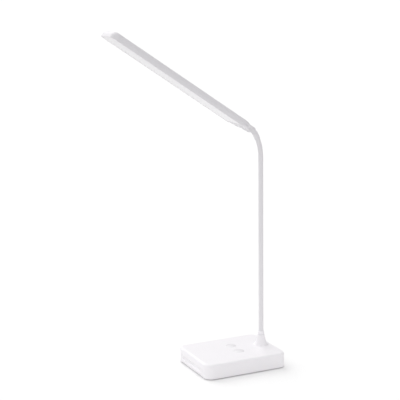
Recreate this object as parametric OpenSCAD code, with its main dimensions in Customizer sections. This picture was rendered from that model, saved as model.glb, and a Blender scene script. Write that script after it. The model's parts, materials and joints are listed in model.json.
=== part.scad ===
// Desk lamp: a low base with a shallow drawer, a thin bent neck and a slim tilting head.
// The drawer opens towards -Y, the head reaches over the base towards -Y, and Z = 0 is the table.

/* [Base] */
// Length of the base, front to back
base_len = 126; // [120:1:160]
// Width of the base, side to side
base_w = 99; // [96:1:130]
// Height of the base's top above the table
base_top = 22.4; // [20.6:0.2:28]
// Radius of the base's four upright corners
base_corner_r = 11.5; // [9:0.5:13.5]
// Radius of the rounded edge round the base's top
base_edge_r = 3.5; // [1.5:0.5:4]
// Wall of the base shell
base_wall = 2.2; // [1.8:0.1:2.6]
// Thickness of the bottom cover
cover_t = 2; // [1.5:0.1:2.5]
// Thickness of the rubber pad under the cover
pad_t = 1.5; // [1:0.1:2.5]
// How far the pad stays inside the base's outline
pad_inset = 4.5; // [4:0.5:5]

/* [Drawer] */
// Distance from the drawer's front panel to the base's sides
drawer_side = 14; // [13.5:0.5:20]
// Height of the front panel
drawer_front_h = 10; // [9:0.5:10.5]
// Thickness of the front panel
drawer_front_t = 3.2; // [2.8:0.1:4]
// Wall and floor of the tray
tray_wall = 1.4; // [1:0.1:1.8]
// Length of the tray that stays in the base when the drawer is out
tray_hold = 12.7; // [10:0.1:30]
// Height of the two runners under the tray
runner_h = 0.6; // [0.4:0.1:0.8]
// Radius of the finger groove along the front panel
groove_r = 3; // [2:0.1:3.4]
// Depth of the finger groove
groove_depth = 1.2; // [0.6:0.1:1.6]
// Length of the finger groove
groove_len = 62; // [40:1:64]

/* [Keys] */
// Radius of each round key
key_r = 7; // [5.5:0.1:7.5]
// Distance between the two keys' centres
key_spacing = 25; // [20:0.5:26]
// How far the keys lie in front of the neck
key_ahead = 42.8; // [38:0.2:44]
// How far a key travels
key_travel = 0.4; // [0.2:0.05:0.5]
// Rise of a key's domed top
dome_rise = 0.8; // [0.4:0.1:1]
// Thickness of the flange that holds a key in
key_flange_t = 1.2; // [0.8:0.1:1.4]
// How far the flange reaches past the key
key_flange_out = 1.3; // [0.8:0.1:1.5]

/* [Boss and swivel] */
// Distance of the neck from the base's rear face
neck_rear = 15.2; // [15.2:0.2:20]
// Height of the trumpet-shaped boss
boss_h = 15.2; // [10:0.2:20]
// Radius of the boss at its top
boss_top_r = 5.5; // [5.4:0.1:7]
// Radius of the boss at its foot
boss_foot_r = 11; // [9:0.1:12.2]
// Chamfer round the boss's top and round the collar
rim_chamfer = 0.7; // [0.3:0.1:0.8]
// Radius of the collar on the boss
collar_r = 4.7; // [4.6:0.1:5.5]
// Height of the collar
collar_h = 5; // [3:0.1:8]
// Radius of the threaded spigot that turns in the boss
spigot_r = 4.3; // [4.2:0.1:4.4]
// How far the bearing reaches below the top wall
bearing_drop = 4.3; // [3:0.1:5]
// Outer radius of the bearing below the top wall
bearing_r = 8; // [7:0.1:9]
// Turn of the neck to each side before it meets its stop
swivel_limit = 90; // [60:5:120]

/* [Neck] */
// Outer radius of the neck tube
tube_r = 3.5; // [2.6:0.1:3.6]
// Wall of the neck tube
tube_wall = 0.6; // [0.4:0.1:0.8]
// Height at which the neck starts to bend
bend_z = 299; // [200:0.2:340]
// Radius of the bend, to the tube's centre
bend_r = 66.5; // [40:0.5:90]
// Angle through which the neck bends forwards
bend_angle = 31.4; // [20:0.2:40]
// Radius of the sleeve at the neck's upper end
sleeve_r = 4; // [4:0.1:4.2]
// Length of that sleeve
sleeve_len = 10; // [6:0.5:14]
// Radius of the two-core cable inside the neck
cable_r = 1.3; // [0.8:0.1:1.5]

/* [Head] */
// Length of the head without its tail
head_len = 225.8; // [180:0.2:300]
// Width of the head
head_w = 45.6; // [40:0.2:60]
// Thickness of the head
head_t = 10.2; // [9.8:0.1:12]
// Rise of the head above the horizontal
head_tilt = 34.2; // [20:0.2:45]
// Corner radius at the tip, in plan
tip_corner_r = 8; // [7.5:0.5:16]
// Corner radius beside the fork, in plan
tail_corner_r = 15.6; // [12:0.2:15.8]
// Radius of the rounded edge round the head's top
head_edge_r = 6.5; // [4:0.5:6.5]
// Wall of the head shell
head_wall = 1.6; // [1.2:0.1:2]
// Width of the rim round the diffuser
rim_w = 1.2; // [0.8:0.1:1.6]
// Width of the ledge that the diffuser rests on
ledge_w = 1.4; // [1:0.1:2]
// Thickness of the diffuser
diffuser_t = 1.5; // [1:0.1:2]
// How far the diffuser lies inside the rim
diffuser_recess = 0.2; // [0.1:0.1:0.6]
// Corner radius of the diffuser's seat at its rear
seat_corner_r = 3; // [2:0.5:4]
// Depth of the tail's shell above its cover
tail_shell_t = 5.8; // [5.4:0.1:6.4]
// How far the tail cover lies inside the tail's outline
tail_cover_in = 1.4; // [1:0.1:1.6]
// Radius of the rounded edge round the tail cover
tail_cover_edge_r = 3; // [1.5:0.5:3.5]

/* [Hinge] */
// Distance from the neck's end to the hinge, along the head
pivot_reach = 8; // [7.5:0.1:10]
// Height of the hinge above the middle of the head's thickness
pivot_lift = 0.8; // [0:0.1:1.5]
// Radius of the tail's rounded end
tail_r = 4.6; // [4.4:0.1:5]
// Width of the tail
tail_w = 14; // [13:0.5:18]
// Distance from the hinge to the head, where the tail cover ends
tail_len = 26; // [24:0.5:34]
// Distance from the hinge to the round end of the tail
fork_len = 8; // [7:0.5:9]
// Radius of the eye on the neck's end
eye_r = 4; // [3.6:0.1:4.1]
// Width of the eye
eye_w = 5; // [4:0.1:5.6]
// Thickness of each friction washer
washer_t = 0.5; // [0.3:0.1:0.8]
// Radius of the hinge screw
hinge_screw_r = 1.5; // [1.2:0.1:1.8]

/* [Lights] */
// Distance between neighbouring chips
led_pitch = 9; // [7:0.5:9]
// Room between the strip and the head's tip
strip_front_room = 11.7; // [8:0.1:30]
// Room between the strip and the tail cover, for the cable's end
strip_rear_room = 6.3; // [5:0.1:30]
// Width of the strip that carries the chips
led_board_w = 12; // [8:0.5:16]
// Thickness of that strip
led_board_t = 1; // [0.8:0.1:1.6]
// Size of a chip along and across the head, and its height
led_size = [2.8, 3.5, 0.7];
// Width of the reflector sheet
reflector_w = 34; // [26:1:36]
// Thickness of the reflector sheet
reflector_t = 0.6; // [0.4:0.1:0.7]

/* [Electronics] */
// Width of the control board
board_w = 66; // [60:1:70]
// Depth of the control board, front to back
board_d = 35; // [32:0.5:36]
// Thickness of the control board
board_t = 1.6; // [1:0.1:2]
// Width, depth and thickness of the lithium cell
cell_size = [50, 28, 3.8];
// Distance of the charging socket from the middle, to the left seen from the front
socket_x = 24; // [22:1:30]
// Width and height of the charging socket
socket_size = [8.94, 3.26];
// Depth of the charging socket
socket_depth = 7.4; // [6:0.1:8]
// Side and height of a key switch's body
switch_size = [6, 3.1];
// Radius and height of a switch's plunger
plunger_size = [1.7, 0.6];
// Thickness of the steel counterweight
weight_t = 3; // [2:0.1:3.2]
// Gap between the counterweight and the screw pillars
weight_gap = 0.4; // [0.3:0.1:4]

/* [Fasteners] */
// Shank radius, head radius, head height and shank length of a cover screw
cover_screw = [1.25, 2.4, 1.1, 9];
// The same for a board screw
board_screw = [1.05, 1.9, 1, 5];
// The same for a tail screw
tail_screw = [0.9, 1.7, 0.9, 5];
// Distance of each tail screw from the middle
tail_screw_x = 7; // [6:0.2:7.4]
// Radius of a pillar that takes a cover screw
pillar_r = 3.6; // [3:0.1:4]
// Radius of a post that takes a board screw
post_r = 2.6; // [2.2:0.1:3]
// Distance of the pillars from the base's sides
pillar_side = 8; // [7.5:0.1:9]
// Distance of the pillars from the base's ends
pillar_end = 13; // [11:0.5:15]
// Width across flats and height of the nut under the boss
neck_nut = [12, 3.8];
// Thickness of the stop washer
stop_washer_t = 1; // [0.8:0.1:1.5]
// Thickness of the clamped wave washer
wave_washer_t = 0.6; // [0.4:0.1:0.9]
// Width of the stop washer's tab
stop_tab_w = 4; // [3:0.1:5]
// How far the tab reaches past the bearing
stop_tab_reach = 2.5; // [1.5:0.1:3]
// Head radius and head height of the hinge screw
hinge_head = [2.4, 1.6];
// Width across flats and height of the hinge nut
hinge_nut_size = [4.4, 1.8];
// Thickness of the caps over the hinge screw and nut
hinge_cap_t = 0.6; // [0.4:0.1:0.7]

/* [Fits] */
// Gap round a shaft that turns in its bore
run_gap = 0.05; // [0.01:0.01:0.1]
// Gap between a fixed pin, tube or plate and its seat
bond_gap = 0.05; // [0.02:0.01:0.15]
// Gap between a moving piece and what carries it
slide_gap = 0.3; // [0.2:0.05:0.4]
// Visible gap round the drawer's front panel
panel_gap = 0.4; // [0.3:0.05:0.6]
// Gap between the cover and the shell's walls
cover_gap = 0.15; // [0.05:0.05:0.3]

/* [Hidden] */
$fn = 64;

white = [0.95, 0.95, 0.95];
steel = [0.72, 0.73, 0.75];
board_green = [0.1, 0.38, 0.25];

// A cut runs this far past the face that it opens
over = 1;
// The finest rounding of an inner edge
fine_r = 0.8;

// Levels in the base
base_bottom = pad_t;
floor_z = base_bottom + cover_t;
roof_z = base_top - base_wall;
inner_w = base_w - 2 * base_wall;
inner_len = base_len - 2 * base_wall;
front_y = -base_len / 2;
rear_y = base_len / 2;
pillar_x = base_w / 2 - pillar_side;
pillar_y = base_len / 2 - pillar_end;
neck_y = rear_y - neck_rear;
key_y = neck_y - key_ahead;
board_front = key_y - 6;

// Drawer
drawer_w = base_w - 2 * drawer_side;
front_bottom = base_bottom + 0.5;
front_top = front_bottom + drawer_front_h;
tray_bottom = floor_z + slide_gap + runner_h;
tray_top = front_top - 0.2;
tray_w = drawer_w - 1.2;
tray_front = front_y + drawer_front_t;
tray_rear = board_front - 4.1;
tray_len = tray_rear - tray_front;
drawer_travel = tray_len - tray_hold;
rail_t = 1.4;
rail_lip_t = 1.2;
rail_front = tray_front + panel_gap;
runner_w = 1.2;
runner_x = tray_w / 2 - 4;
catch_w = 12;
catch_t = 1.5;
catch_y = tray_rear - 2;
snap_r = 1.5;
snap_x = drawer_w / 4;
snap_z = (tray_bottom + tray_wall + tray_top) / 2;

// Board and keys
board_top = roof_z - 5.8;
board_bottom = board_top - board_t;
board_back = board_front + board_d;
post_x = board_w / 2 - 3;
post_front = board_front + 4;
post_back = board_back - 4;
switch_top = board_top + switch_size[1] + plunger_size[1];
key_top = base_top - 0.15 + dome_rise;
key_flange_top = roof_z - bond_gap * 4;
key_stem_r = 1.6;
key_stem_bottom = switch_top + key_travel + run_gap;
dome_ball_r = (key_r * key_r + dome_rise * dome_rise) / (2 * dome_rise);

// Counterweight and cell
weight_w = 2 * (pillar_x - pillar_r - weight_gap);
weight_front = board_front;
weight_back = rear_y - base_wall - 2.8;
weight_top = floor_z + weight_t;
peg_r = 2;
peg_x = weight_w / 2 - 6;
peg_y = neck_y - 14;
cable_slot = 2 * cable_r + 2;
cable_rise_y = board_back - 3.5;
cell_z = weight_top + slide_gap;
cell_y = board_front + cell_size[1] / 2;

// Boss and swivel
boss_top = base_top + boss_h;
boss_flare = boss_foot_r - boss_top_r;
flare_r = (boss_flare * boss_flare + boss_h * boss_h) / (2 * boss_flare);
bearing_z = roof_z - bearing_drop;
collar_z = boss_top + slide_gap;
stop_z = bearing_z - slide_gap - stop_washer_t;
wave_z = stop_z - wave_washer_t;
nut_z = wave_z - neck_nut[1];
spigot_z = nut_z - 0.8;
tube_z = spigot_z + 2;
stop_washer_r = bearing_r - 1;
wave_washer_r = stop_washer_r - 0.5;
stop_ring_in = stop_washer_r + 0.7;
stop_tab_r = bearing_r + stop_tab_reach;
stop_tab_angle = asin(stop_tab_w / 2 / stop_ring_in);
stop_ring_angle = 360 - 2 * (swivel_limit + stop_tab_angle + 1);

// Neck
cable_low = floor_z + slide_gap + cable_r;
cable_bend_r = 2 * cable_r;
neck_cable_z = cable_low + cable_bend_r + slide_gap;
neck_end_y = neck_y - bend_r * (1 - cos(bend_angle));
neck_end_z = bend_z + bend_r * sin(bend_angle);
// Angle between the neck's end and the head
kink = 90 - bend_angle - head_tilt;
pivot_along = pivot_reach * cos(kink) + pivot_lift * sin(kink);
pivot_ahead = pivot_reach * sin(kink) - pivot_lift * cos(kink);
sleeve_lip = 2;
sleeve_tip_r = 2.8;
// Turns round the bend that match a length along it
sleeve_turn = sleeve_len / bend_r * 180 / PI;
bend_over = over / bend_r * 180 / PI;
bond_turn = bond_gap / bend_r * 180 / PI;

// Head, measured from the hinge with the head lying along -Y
head_bottom = -pivot_lift - head_t / 2;
head_top = head_bottom + head_t;
head_back = -tail_len;
head_mid = head_back - head_len / 2;
seat_depth = diffuser_recess + diffuser_t + 2 * bond_gap;
cavity_top = head_top - head_wall;
cavity_inset = rim_w + ledge_w;
cavity_edge_r = head_edge_r - head_wall;
tail_edge_r = 3;
split_z = head_top - tail_shell_t;
tail_bottom = head_bottom + 0.4;
tail_cover_t = split_z - bond_gap - tail_bottom;
tail_screw_hold = 1.6;
tail_screw_seat = split_z - tail_screw_hold;
tail_screw_y = -(tail_len + fork_len) / 2 - 1;
tail_cavity_y = -fork_len - 4;
fork_front = fork_len + tail_cover_in - slide_gap;
fork_run = fork_len + tail_corner_r;
whole_len = head_len + tail_len - fork_len;
whole_mid = -fork_len - whole_len / 2;
slot_w = eye_w + 2 * washer_t + 4 * run_gap;
slot_front = -eye_r - 0.5;
strip_rear = head_back - strip_rear_room;
strip_len = head_len - strip_front_room - strip_rear_room;
strip_mid = strip_rear - strip_len / 2;
led_margin = 4;
led_count = floor((strip_len - 2 * led_margin) / led_pitch) + 1;
strip_z = cavity_top - led_board_t;
reflector_z = strip_z - reflector_t;
head_cable_z = strip_z - cable_r - run_gap;
head_cable_end = strip_rear - 2;
recess_r = hinge_head[0] + 0.3;
recess_x = tail_w / 2 - 2.6;

// Outline of a slab's rounded edge, from its corner's centre outwards
module edge_section(reach, high, edge_r) {
    square([reach, high - edge_r]);
    if (reach > edge_r) square([reach - edge_r, high]);
    translate([reach - edge_r, high - edge_r]) intersection() {
        circle(r = edge_r);
        square(edge_r);
    }
}

// A slab with round corners in plan and a rounded edge round its top, standing on Z = 0
module rounded_slab(wide, long, high, front_r, rear_r, edge_r) {
    half_w = wide / 2;
    half_l = long / 2;
    for (side = [-1, 1]) {
        translate([side * (half_w - front_r), front_r - half_l, 0])
            rotate([0, 0, side > 0 ? -90 : 180])
            rotate_extrude(angle = 90) edge_section(front_r, high, edge_r);
        translate([side * (half_w - rear_r), half_l - rear_r, 0])
            rotate([0, 0, side > 0 ? 0 : 90])
            rotate_extrude(angle = 90) edge_section(rear_r, high, edge_r);
        translate([side * (half_w - edge_r), half_l - rear_r, 0])
            mirror([side > 0 ? 0 : 1, 0, 0])
            rotate([90, 0, 0])
            linear_extrude(long - front_r - rear_r) edge_section(edge_r, high, edge_r);
    }
    translate([front_r - half_w, edge_r - half_l, 0])
        rotate([90, 0, 90])
        mirror([1, 0, 0])
        linear_extrude(wide - 2 * front_r) edge_section(edge_r, high, edge_r);
    translate([rear_r - half_w, half_l - edge_r, 0])
        rotate([90, 0, 90])
        linear_extrude(wide - 2 * rear_r) edge_section(edge_r, high, edge_r);
    translate([edge_r - half_w, front_r - half_l, 0])
        cube([wide - 2 * edge_r, long - front_r - rear_r, high]);
    if (front_r > edge_r)
        translate([front_r - half_w, edge_r - half_l, 0])
            cube([wide - 2 * front_r, front_r - edge_r, high]);
    if (rear_r > edge_r)
        translate([rear_r - half_w, half_l - rear_r, 0])
            cube([wide - 2 * rear_r, rear_r - edge_r, high]);
}

// A flat plate with round corners in plan, standing on Z = 0
module rounded_plate(wide, long, high, front_r, rear_r) {
    half_w = wide / 2;
    half_l = long / 2;
    for (side = [-1, 1]) {
        translate([side * (half_w - front_r), front_r - half_l, 0])
            rotate([0, 0, side > 0 ? -90 : 180])
            rotate_extrude(angle = 90) square([front_r, high]);
        translate([side * (half_w - rear_r), half_l - rear_r, 0])
            rotate([0, 0, side > 0 ? 0 : 90])
            rotate_extrude(angle = 90) square([rear_r, high]);
    }
    linear_extrude(high) polygon([
        [front_r - half_w, -half_l], [half_w - front_r, -half_l],
        [half_w - front_r, front_r - half_l], [half_w, front_r - half_l],
        [half_w, half_l - rear_r], [half_w - rear_r, half_l - rear_r],
        [half_w - rear_r, half_l], [rear_r - half_w, half_l],
        [rear_r - half_w, half_l - rear_r], [-half_w, half_l - rear_r],
        [-half_w, front_r - half_l], [front_r - half_w, front_r - half_l]
    ]);
}

// A flat ring standing on Z = 0
module ring(outer_r, inner_r, high) {
    difference() {
        cylinder(r = outer_r, h = high);
        translate([0, 0, -over]) cylinder(r = inner_r, h = high + 2 * over);
    }
}

// A box given by its low and high corner
module box(low, high) {
    translate(low) cube(high - low);
}

// Puts its children at the four screw pillars, or at the four board posts
module at_pillars() {
    for (side = [-1, 1], end = [-1, 1])
        translate([side * pillar_x, end * pillar_y, 0]) children();
}

module at_posts() {
    for (side = [-1, 1], y = [post_front, post_back])
        translate([side * post_x, y, 0]) children();
}

module at_keys() {
    for (side = [-1, 1]) translate([side * key_spacing / 2, key_y, 0]) children();
}

module at_neck() {
    translate([0, neck_y, 0]) children();
}

// A pan-head screw pointing up, its head's upper face at Z = 0
module screw(sizes) {
    translate([0, 0, -sizes[2]]) cylinder(r = sizes[1], h = sizes[2]);
    cylinder(r = sizes[0], h = sizes[3]);
}

// A slot with round ends, wide along X, running along -Y from Y = 0
module round_slot(wide, high, deep) {
    rotate([90, 0, 0]) linear_extrude(deep) {
        square([wide - high, high], center = true);
        for (side = [-1, 1]) translate([side * (wide - high) / 2, 0]) circle(d = high);
    }
}

// ---- Base ----

// The boss that the neck turns in: a trumpet that flares into the base's top
module boss() {
    at_neck() translate([0, 0, base_top]) {
        rotate_extrude() difference() {
            square([boss_foot_r, boss_h]);
            translate([boss_top_r + flare_r, boss_h]) circle(r = flare_r, $fn = 160);
            polygon([
                [boss_top_r - rim_chamfer, boss_h], [boss_top_r + over, boss_h - rim_chamfer - over],
                [boss_top_r + over, boss_h + over], [boss_top_r - rim_chamfer, boss_h + over]
            ]);
        }
        translate([0, 0, -over]) cylinder(r = boss_foot_r, h = over);
    }
}

// The rib round the back of the bearing that the stop washer's tab meets
module swivel_stop() {
    at_neck() translate([0, 0, stop_z - slide_gap])
        rotate([0, 0, 90 - stop_ring_angle / 2])
        rotate_extrude(angle = stop_ring_angle)
        translate([stop_ring_in, 0])
        square([stop_tab_r - stop_ring_in, roof_z - stop_z + slide_gap + over / 2]);
}

module base_shell() {
    color(white) difference() {
        union() {
            difference() {
                translate([0, 0, base_bottom])
                    rounded_slab(base_w, base_len, base_top - base_bottom,
                                 base_corner_r, base_corner_r, base_edge_r);
                translate([0, 0, base_bottom - over])
                    rounded_slab(inner_w, inner_len, roof_z - base_bottom + over,
                                 base_corner_r - base_wall, base_corner_r - base_wall, fine_r);
            }
            boss();
            at_neck() translate([0, 0, bearing_z])
                cylinder(r = bearing_r, h = roof_z - bearing_z + over);
            swivel_stop();
            at_pillars() translate([0, 0, floor_z + bond_gap])
                cylinder(r = pillar_r, h = roof_z - floor_z - bond_gap + over);
            at_posts() translate([0, 0, board_top])
                cylinder(r = post_r, h = roof_z - board_top + over);
        }
        at_neck() translate([0, 0, bearing_z - over])
            cylinder(r = spigot_r + run_gap, h = boss_top - bearing_z + 2 * over);
        at_keys() translate([0, 0, roof_z - over])
            cylinder(r = key_r + slide_gap, h = base_wall + 2 * over);
        at_pillars() translate([0, 0, floor_z])
            cylinder(r = cover_screw[0] + bond_gap, h = cover_screw[3]);
        at_posts() translate([0, 0, board_top - over])
            cylinder(r = board_screw[0] + bond_gap, h = board_screw[3] + over);
        box([-drawer_w / 2 - panel_gap, front_y - over, base_bottom - over],
            [drawer_w / 2 + panel_gap, front_y + base_wall + over, front_top + panel_gap]);
        translate([-socket_x, rear_y + over, board_top + socket_size[1] / 2])
            round_slot(socket_size[0] + 2 * slide_gap, socket_size[1] + 2 * slide_gap,
                       base_wall + 2 * over);
    }
}

// The drawer's rails: a wall beside the tray and a lip over its edge
module rail() {
    rail_x = tray_w / 2 + slide_gap;
    lip_z = tray_top + slide_gap;
    rail_back = tray_rear + slide_gap;
    box([rail_x, rail_front, floor_z - over / 2], [rail_x + rail_t, rail_back, lip_z + rail_lip_t]);
    box([rail_x - tray_wall, rail_front, lip_z], [rail_x + rail_t, rail_back, lip_z + rail_lip_t]);
}

module base_cover() {
    color(white) difference() {
        union() {
            translate([0, 0, base_bottom])
                rounded_plate(inner_w - 2 * cover_gap, inner_len - 2 * cover_gap, cover_t,
                              base_corner_r - base_wall - cover_gap,
                              base_corner_r - base_wall - cover_gap);
            rail();
            mirror([1, 0, 0]) rail();
            // Ridge that the tray's catch meets when the drawer is out
            box([-catch_w / 2 - over, catch_y - drawer_travel - slide_gap - catch_t, floor_z - over / 2],
                [catch_w / 2 + over, catch_y - drawer_travel - slide_gap, tray_bottom - slide_gap]);
            // Wall behind the closed drawer
            box([-tray_w / 4, tray_rear + slide_gap, floor_z - over / 2],
                [tray_w / 4, tray_rear + slide_gap + rail_t, tray_top - rail_t]);
            for (side = [-1, 1]) translate([side * peg_x, peg_y, floor_z - over / 2])
                cylinder(r = peg_r, h = weight_t + over / 2);
        }
        // Room for the front panel, which stands a little deeper than the shell's wall
        box([-drawer_w / 2 - panel_gap, front_y, base_bottom - over],
            [drawer_w / 2 + panel_gap, tray_front + panel_gap / 2, floor_z + over]);
        at_pillars() {
            translate([0, 0, base_bottom - over])
                cylinder(r = cover_screw[0] + slide_gap, h = cover_t + 2 * over);
            translate([0, 0, base_bottom - over])
                cylinder(r = cover_screw[1] + slide_gap, h = cover_screw[2] + bond_gap + over);
        }
    }
}

module base_pad() {
    pad_corner_r = base_corner_r - pad_inset;
    color([0.85, 0.85, 0.86])
        rounded_plate(base_w - 2 * pad_inset, base_len - 2 * pad_inset, pad_t,
                      pad_corner_r, pad_corner_r);
}

module counterweight() {
    color(steel) difference() {
        box([-weight_w / 2, weight_front, floor_z], [weight_w / 2, weight_back, weight_top]);
        for (side = [-1, 1]) translate([side * peg_x, peg_y, floor_z - over])
            cylinder(r = peg_r + bond_gap, h = weight_t + 2 * over);
        box([-cable_slot / 2, cable_rise_y - cable_slot / 2, floor_z - over],
            [cable_slot / 2, neck_y + cable_slot / 2, weight_top + over]);
    }
}

module lithium_cell() {
    cell_edge_r = 1;
    color([0.62, 0.64, 0.68]) translate([0, cell_y, cell_z])
        rounded_slab(cell_size[0], cell_size[1], cell_size[2],
                     2 * cell_edge_r, 2 * cell_edge_r, cell_edge_r);
}

module control_board() {
    tongue_w = socket_size[0] + 5;
    color(board_green) difference() {
        union() {
            box([-board_w / 2, board_front, board_bottom], [board_w / 2, board_back, board_top]);
            box([-socket_x - tongue_w / 2, board_back - over, board_bottom],
                [-socket_x + tongue_w / 2, rear_y - base_wall - slide_gap, board_top]);
        }
        at_posts() translate([0, 0, board_bottom - over])
            cylinder(r = board_screw[0] + slide_gap / 2, h = board_t + 2 * over);
    }
}

module charging_socket() {
    shell_t = 0.3;
    tongue_t = 0.7;
    mouth_y = rear_y - 0.6;
    middle_z = board_top + socket_size[1] / 2;
    color(steel) translate([-socket_x, mouth_y, middle_z]) {
        difference() {
            round_slot(socket_size[0], socket_size[1], socket_depth);
            translate([0, over, 0])
                round_slot(socket_size[0] - 2 * shell_t, socket_size[1] - 2 * shell_t,
                           socket_depth - over + over);
        }
        translate([-socket_size[0] / 2 + 1.2, -socket_depth, -tongue_t / 2])
            cube([socket_size[0] - 2.4, socket_depth - over, tongue_t]);
    }
}

module key_switches() {
    color([0.15, 0.15, 0.16]) at_keys() {
        translate([-switch_size[0] / 2, -switch_size[0] / 2, board_top])
            cube([switch_size[0], switch_size[0], switch_size[1]]);
        translate([0, 0, board_top + switch_size[1] - over])
            cylinder(r = plunger_size[0], h = plunger_size[1] + over);
    }
}

module board_screws() {
    color(steel) at_posts() translate([0, 0, board_bottom]) screw(board_screw);
}

module cover_screws() {
    color(steel) at_pillars() translate([0, 0, base_bottom + cover_screw[2] + bond_gap])
        screw(cover_screw);
}

// Cable from the board down into the counterweight's slot and up to the foot of the neck
module base_cable() {
    run = neck_y - cable_rise_y - 2 * cable_bend_r;
    color("black") {
        translate([0, cable_rise_y, cable_low + cable_bend_r])
            cylinder(r = cable_r, h = board_bottom - cable_low - cable_bend_r - bond_gap);
        translate([0, cable_rise_y + cable_bend_r, cable_low + cable_bend_r])
            rotate([90, 0, 90])
            rotate([0, 0, 180])
            rotate_extrude(angle = 90) translate([cable_bend_r, 0]) circle(r = cable_r);
        translate([0, cable_rise_y + cable_bend_r, cable_low])
            rotate([-90, 0, 0]) cylinder(r = cable_r, h = run);
        translate([0, neck_y - cable_bend_r, cable_low + cable_bend_r])
            rotate([90, 0, 90])
            rotate([0, 0, -90])
            rotate_extrude(angle = 90) translate([cable_bend_r, 0]) circle(r = cable_r);
    }
}

// Two short leads from the cell up to the board
module cell_leads() {
    lead_r = 0.6;
    lead_gap = 3;
    color("crimson") for (side = [-1, 1])
        translate([side * lead_gap / 2, cell_y - 4, cell_z + cell_size[2] + bond_gap])
            cylinder(r = lead_r, h = board_bottom - cell_z - cell_size[2] - 2 * bond_gap);
}

// ---- Keys ----

// A round key with a domed top, a flange that holds it in and a stem over its switch
module key_cap() {
    flange_z = key_flange_top - key_flange_t;
    translate([0, 0, flange_z]) cylinder(r = key_r + key_flange_out, h = key_flange_t);
    intersection() {
        translate([0, 0, flange_z]) cylinder(r = key_r, h = key_top - flange_z + over);
        translate([0, 0, key_top - dome_ball_r]) sphere(r = dome_ball_r, $fn = 180);
    }
    translate([0, 0, key_stem_bottom])
        cylinder(r = key_stem_r, h = key_flange_top - key_stem_bottom);
}

module power_key() {
    color(white) translate([-key_spacing / 2, key_y, 0]) key_cap();
}

module mode_key() {
    color(white) translate([key_spacing / 2, key_y, 0]) key_cap();
}

// ---- Drawer ----

module drawer_tray() {
    color(white) difference() {
        union() {
            box([-tray_w / 2, tray_front, tray_bottom], [tray_w / 2, tray_rear, tray_top]);
            for (side = [-1, 1])
                translate([side * runner_x - runner_w / 2, tray_front, tray_bottom - runner_h])
                    cube([runner_w, tray_len, runner_h + tray_wall / 2]);
            // Catch that keeps the drawer from pulling right out
            box([-catch_w / 2, catch_y, tray_bottom - runner_h],
                [catch_w / 2, catch_y + catch_t, tray_bottom + tray_wall / 2]);
        }
        box([-tray_w / 2 + tray_wall, tray_front + tray_wall, tray_bottom + tray_wall],
            [tray_w / 2 - tray_wall, tray_rear - tray_wall, tray_top + over]);
        for (side = [-1, 1]) translate([side * snap_x, tray_front - over, snap_z])
            rotate([-90, 0, 0]) cylinder(r = snap_r + bond_gap, h = tray_wall + 2 * over);
    }
}

module drawer_front() {
    groove_z = front_top - groove_r - 0.6;
    color(white) difference() {
        union() {
            box([-drawer_w / 2, front_y, front_bottom], [drawer_w / 2, tray_front, front_top]);
            for (side = [-1, 1]) translate([side * snap_x, tray_front - over, snap_z])
                rotate([-90, 0, 0]) cylinder(r = snap_r, h = tray_wall + over);
        }
        translate([-groove_len / 2, front_y - groove_r + groove_depth, groove_z])
            rotate([0, 90, 0]) cylinder(r = groove_r, h = groove_len);
    }
}

// ---- Neck ----

// A rod round the neck's bend, from one angle to another
module round_bend(r, from_turn, to_turn) {
    translate([0, neck_y - bend_r, bend_z])
        rotate([90, 0, 90])
        rotate([0, 0, from_turn])
        rotate_extrude(angle = to_turn - from_turn, $fn = 240)
        translate([bend_r, 0]) circle(r = r, $fn = 64);
}

// A rod along the neck's centre line, from a height below and round the bend to an angle
module along_neck(r, from_z, to_turn) {
    at_neck() translate([0, 0, from_z]) cylinder(r = r, h = bend_z - from_z);
    round_bend(r, 0, to_turn);
}

// Puts its children at the neck's end, with +Z along the tube and -Y to the front
module at_neck_end() {
    translate([0, neck_end_y, neck_end_z]) rotate([bend_angle, 0, 0]) children();
}

module neck_tube() {
    color(white) difference() {
        along_neck(tube_r, tube_z, bend_angle);
        along_neck(tube_r - tube_wall, tube_z - over, bend_angle + bend_over);
    }
}

module neck_collar() {
    color(white) at_neck() translate([0, 0, collar_z]) difference() {
        rotate_extrude() polygon([
            [0, 0], [collar_r, 0], [collar_r, collar_h - rim_chamfer],
            [collar_r - rim_chamfer, collar_h], [0, collar_h]
        ]);
        translate([0, 0, -over]) cylinder(r = tube_r + bond_gap, h = collar_h + 2 * over);
    }
}

module neck_spigot() {
    color(steel) at_neck() translate([0, 0, spigot_z])
        ring(spigot_r, tube_r + bond_gap, collar_z - spigot_z);
}

module stop_washer() {
    color(steel) at_neck() translate([0, 0, stop_z]) difference() {
        union() {
            cylinder(r = stop_washer_r, h = stop_washer_t);
            box([-stop_tab_w / 2, -stop_tab_r, 0], [stop_tab_w / 2, 0, stop_washer_t]);
        }
        translate([0, 0, -over])
            cylinder(r = spigot_r + bond_gap, h = stop_washer_t + 2 * over);
    }
}

module wave_washer() {
    color(steel) at_neck() translate([0, 0, wave_z])
        ring(wave_washer_r, spigot_r + bond_gap, wave_washer_t);
}

module neck_nut() {
    color(steel) at_neck() translate([0, 0, nut_z]) difference() {
        cylinder(d = neck_nut[0] / cos(30), h = neck_nut[1], $fn = 6);
        translate([0, 0, -over]) cylinder(r = spigot_r + bond_gap, h = neck_nut[1] + 2 * over);
    }
}

// The cable runs a little past the tube's end, into the knuckle's bore
module neck_cable() {
    color("black") along_neck(cable_r, neck_cable_z, bend_angle + bend_over);
}

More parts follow.
